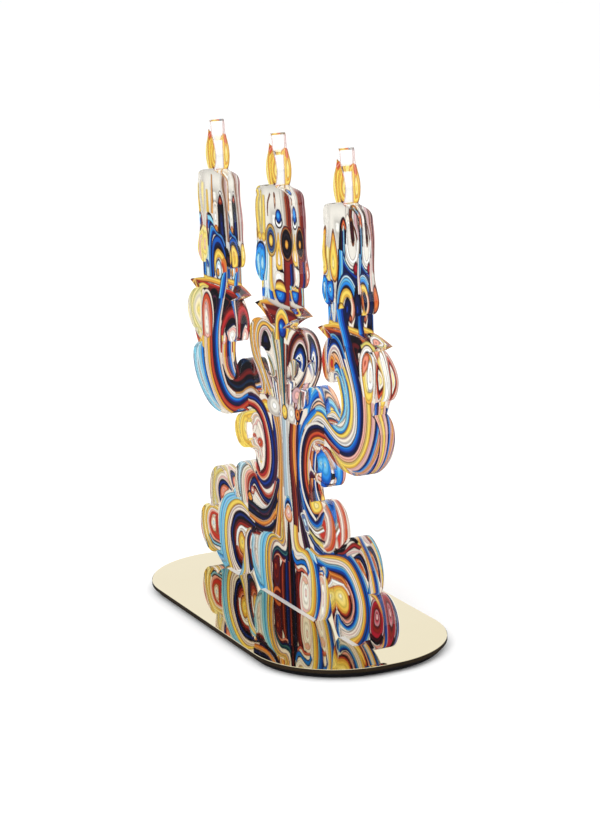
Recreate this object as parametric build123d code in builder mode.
"""Table candelabra: a profile-cut clear acrylic plate with a print on its back, on a mirror base.

Frame: millimetres, +Z up, -Y to the front, +X to the right of somebody who faces the front.
The origin is the middle of the footprint, on the surface that the felt pads stand on.
"""
import os

from build123d import *

# ---------------------------------------------------------------- driving dimensions (mm)
PLATE_WIDTH = 339.0          # upright plate, over its two outer leaves
PLATE_HEIGHT = 364.0         # upright plate, from the mirror to the flame tips
PLATE_THICKNESS = 12.0       # clear cast acrylic sheet
PRINT_THICKNESS = 0.25       # colour layer on the back of the upright plate
BACKING_THICKNESS = 0.25     # white layer with the rear picture behind it
PRINT_TOP = 352.0            # the colour stops here, under the clear flame tips

MIRROR_LENGTH = 320.0        # gold mirror acrylic
MIRROR_WIDTH = 150.0
MIRROR_END_FLAT = 10.0       # straight part of each short end, between its two corners
MIRROR_THICKNESS = 3.0
MIRROR_EDGE_BREAK = 0.4      # polished edge of the mirror plate

BASE_INSET = 3.5             # the black plate stands back from the mirror's edge by this
BASE_THICKNESS = 4.0
BASE_EDGE_BREAK = 0.4

PAD_DIAMETER = 16.0          # stick-on felt pads
PAD_HEIGHT = 0.8
PAD_EDGE_BREAK = 0.2
PAD_SPACING_X = 200.0
PAD_SPACING_Y = 84.0

# ---------------------------------------------------------------- what follows from them
BASE_BOTTOM = PAD_HEIGHT
MIRROR_BOTTOM = BASE_BOTTOM + BASE_THICKNESS
MIRROR_TOP = MIRROR_BOTTOM + MIRROR_THICKNESS
MIRROR_CORNER = (MIRROR_WIDTH - MIRROR_END_FLAT) / 2
PLATE_BACK = PLATE_THICKNESS / 2

# The outline is drawn at this size and brought to PLATE_WIDTH and PLATE_HEIGHT.
DRAWN_WIDTH = 339.0
DRAWN_HEIGHT = 364.0
SCALE_X = PLATE_WIDTH / DRAWN_WIDTH
SCALE_Z = PLATE_HEIGHT / DRAWN_HEIGHT

# One candle with its drips and flame, about its own axis: (offset from the axis, height).
CANDLE_AXIS = 110.5
FLAME_SIDE = [(5.0, 325.5), (8.0, 330.5), (9.2, 338.0), (7.2, 345.5), (3.8, 351.5), (2.4, 357.0), (1.8, 362.0)]
FLAME_TIP = (0.0, 364.0)


def scaled(points):
    """Bring drawn points to the size of the plate."""
    return [(x * SCALE_X, z * SCALE_Z) for x, z in points]


def flame_side(axis, side):
    """Points of one side of a flame from its neck up, on the given side (+1 or -1) of its axis."""
    return [(axis + side * offset, z) for offset, z in FLAME_SIDE]


def half_outline():
    """The stretches of the right half's edge, from the middle of the foot round to the middle flame's tip.

    Each stretch is a smooth curve, or a straight line where it has two points; they meet at corners.
    """
    bell_foot = [(47, 0), (54.5, 7), (60, 18), (61.5, 30), (59.5, 40), (62, 47)]
    scroll_inside = [(62, 47), (69, 43), (74, 35), (77, 25), (79.5, 14), (83, 6), (89, 0)]
    scroll_underside = [(112, 0), (122, 3.5), (131.5, 9.9)]
    outer_lobe = [(131.5, 9.9), (142, 7), (156.1, 12.9), (162, 27), (156.1, 41.1), (145, 46.8), (137, 46.4)]
    upper_lobe = [(137, 46.4), (140, 58), (137, 72), (130, 80), (121.5, 84), (112, 82.5), (98, 73), (86, 66)]
    inner_lobe = [(86, 66), (88.8, 80), (83.5, 93), (71, 98.8), (58, 97), (49, 94)]
    trunk_side = [(49, 94), (46.2, 103), (48, 112)]
    curl = [(48, 112), (58, 113), (69, 110.8), (79, 113.5), (84.5, 123.5), (80.5, 133), (72, 138.2), (60, 142)]
    arm_underside = [
        (60, 142), (73, 141.3), (90, 134), (112, 130.5), (131, 133), (148, 142.5), (160, 157), (162, 170), (151, 181),
    ]
    leaf_stem = [(151, 181), (157, 191.5)]
    outer_leaf = [(157, 191.5), (167, 199), (169.5, 208.5), (164, 218), (150, 226)]
    outer_cup = [(150, 226), (162, 231)]
    outer_rim = [(162, 231), (150, 233.8), (134, 236)]
    outer_wax_foot = [(134, 236), (134, 249)]
    outer_drip = [(134, 249), (140, 252), (143.5, 259), (141, 267), (138, 275), (138.5, 296), (137.5, 314)]
    outer_shoulder = [(137.5, 314), (134.5, 321), (127, 323.5), (115.5, 325.5)]
    inner_shoulder = [(105.5, 325.5), (93, 323.5), (86, 321), (84, 314)]
    inner_drip = [(84, 314), (83.3, 300), (80.5, 284), (81.5, 271), (78.5, 261), (81, 253), (87.5, 250)]
    inner_wax_foot = [(87.5, 250), (87.5, 236)]
    inner_rim = [(87.5, 236), (79, 233.8), (69.5, 230.5)]
    inner_cup = [(69.5, 230.5), (85, 225)]
    inner_leaf = [(85, 225), (77.5, 216), (75, 205), (80, 194), (89, 192.8), (97, 199)]
    bay = [(97, 199), (103, 187), (103, 172), (95, 163), (85, 162), (79, 170)]
    arm_bump = [(79, 170), (73, 178.5), (62, 183.5), (52, 182), (45, 170), (30, 161)]
    side_petal = [(30, 161), (37, 177), (47, 190), (50.5, 203), (45, 216), (32, 220.8), (10, 219.5)]
    middle_cup = [(10, 219.5), (24, 227), (38, 231.5)]
    middle_rim = [(38, 231.5), (31, 234), (24, 236)]
    middle_wax_foot = [(24, 236), (24, 250.5)]
    middle_drip = [(24, 250.5), (31, 254), (34.5, 262), (32.5, 271), (30.5, 280), (31, 296), (29.5, 314)]
    middle_shoulder = [(29.5, 314), (27, 321), (20, 323.5), (5, 325.5)]
    tip_height = FLAME_TIP[1]
    candle_flame_out = flame_side(CANDLE_AXIS, 1) + [(CANDLE_AXIS, tip_height)]
    candle_flame_in = [(CANDLE_AXIS, tip_height)] + flame_side(CANDLE_AXIS, -1)[::-1]
    middle_flame = flame_side(0, 1) + [FLAME_TIP]
    return [
        [(0, 0), (47, 0)], bell_foot, scroll_inside, [(89, 0), (112, 0)], scroll_underside,
        outer_lobe, upper_lobe, inner_lobe, trunk_side, curl, arm_underside, leaf_stem, outer_leaf,
        outer_cup, outer_rim, outer_wax_foot, outer_drip, outer_shoulder, candle_flame_out, candle_flame_in,
        inner_shoulder, inner_drip, inner_wax_foot, inner_rim, inner_cup, inner_leaf, bay, arm_bump,
        side_petal, middle_cup, middle_rim, middle_wax_foot, middle_drip, middle_shoulder, middle_flame,
    ]


def half_windows():
    """Closed smooth openings cut through the right half of the plate."""
    curl_eye = [(61, 119), (62.5, 128), (58.5, 136), (53, 133.5), (50.5, 127), (54, 120)]
    petal_eye = [(31, 199), (24, 198), (15, 187), (13, 177.5), (22, 181.5), (30.5, 190)]
    return [curl_eye, petal_eye]


def upright(back):
    """The plane of a sheet of the upright plate whose rear face is at y = back."""
    return Plane(origin=(0, back, MIRROR_TOP), x_dir=(1, 0, 0), z_dir=(0, -1, 0))


def finish(piece, name):
    """Label a finished piece and write it."""
    piece.label = name
    export_step(piece, f"parts/{name}.step")


def candelabra_sheet(back, thickness, name, clear_tips=False):
    """One sheet of the upright plate, from y = back forwards; the right half is drawn and mirrored."""
    with BuildPart() as sheet:
        with BuildSketch(upright(back)):
            with BuildLine():
                for stretch in half_outline():
                    points = scaled(stretch)
                    if len(points) == 2:
                        Line(*points)
                    else:
                        Spline(*points)
                Line((0, PLATE_HEIGHT), (0, 0))
            make_face()
            for window in half_windows():
                with BuildLine():
                    Spline(*scaled(window), periodic=True)
                make_face(mode=Mode.SUBTRACT)
            mirror(about=Plane.YZ)
            if clear_tips:
                with Locations((0, PRINT_TOP * SCALE_Z)):
                    Rectangle(PLATE_WIDTH, PLATE_HEIGHT, align=(Align.CENTER, Align.MIN), mode=Mode.SUBTRACT)
        extrude(amount=thickness)
    finish(sheet.part, name)


os.makedirs("parts", exist_ok=True)

# ---------------------------------------------------------------- upright plate, its print and its backing
candelabra_sheet(PLATE_BACK, PLATE_THICKNESS, "candelabra_plate")
candelabra_sheet(PLATE_BACK + PRINT_THICKNESS, PRINT_THICKNESS, "picture_print", clear_tips=True)
candelabra_sheet(
    PLATE_BACK + PRINT_THICKNESS + BACKING_THICKNESS, BACKING_THICKNESS, "rear_print", clear_tips=True
)

# ---------------------------------------------------------------- mirror plate
with BuildPart() as mirror_plate:
    with BuildSketch(Plane.XY.offset(MIRROR_BOTTOM)):
        RectangleRounded(MIRROR_LENGTH, MIRROR_WIDTH, MIRROR_CORNER)
    extrude(amount=MIRROR_THICKNESS)
    chamfer(mirror_plate.edges().group_by(Axis.Z)[-1], MIRROR_EDGE_BREAK)
finish(mirror_plate.part, "mirror_plate")

# ---------------------------------------------------------------- black base plate
with BuildPart() as base_plate:
    with BuildSketch(Plane.XY.offset(BASE_BOTTOM)):
        RectangleRounded(
            MIRROR_LENGTH - 2 * BASE_INSET,
            MIRROR_WIDTH - 2 * BASE_INSET,
            MIRROR_CORNER - BASE_INSET,
        )
    extrude(amount=BASE_THICKNESS)
    chamfer(base_plate.edges().group_by(Axis.Z)[0], BASE_EDGE_BREAK)
finish(base_plate.part, "base_plate")

# ---------------------------------------------------------------- four felt pads
PAD_CORNERS = {
    "felt_pad_front_left": (-1, -1),
    "felt_pad_front_right": (1, -1),
    "felt_pad_rear_left": (-1, 1),
    "felt_pad_rear_right": (1, 1),
}
for pad_name, (side_x, side_y) in PAD_CORNERS.items():
    with BuildPart() as pad:
        with BuildSketch(Plane.XY):
            with Locations((side_x * PAD_SPACING_X / 2, side_y * PAD_SPACING_Y / 2)):
                Circle(PAD_DIAMETER / 2)
        extrude(amount=PAD_HEIGHT)
        chamfer(pad.edges().group_by(Axis.Z)[0], PAD_EDGE_BREAK)
    finish(pad.part, pad_name)
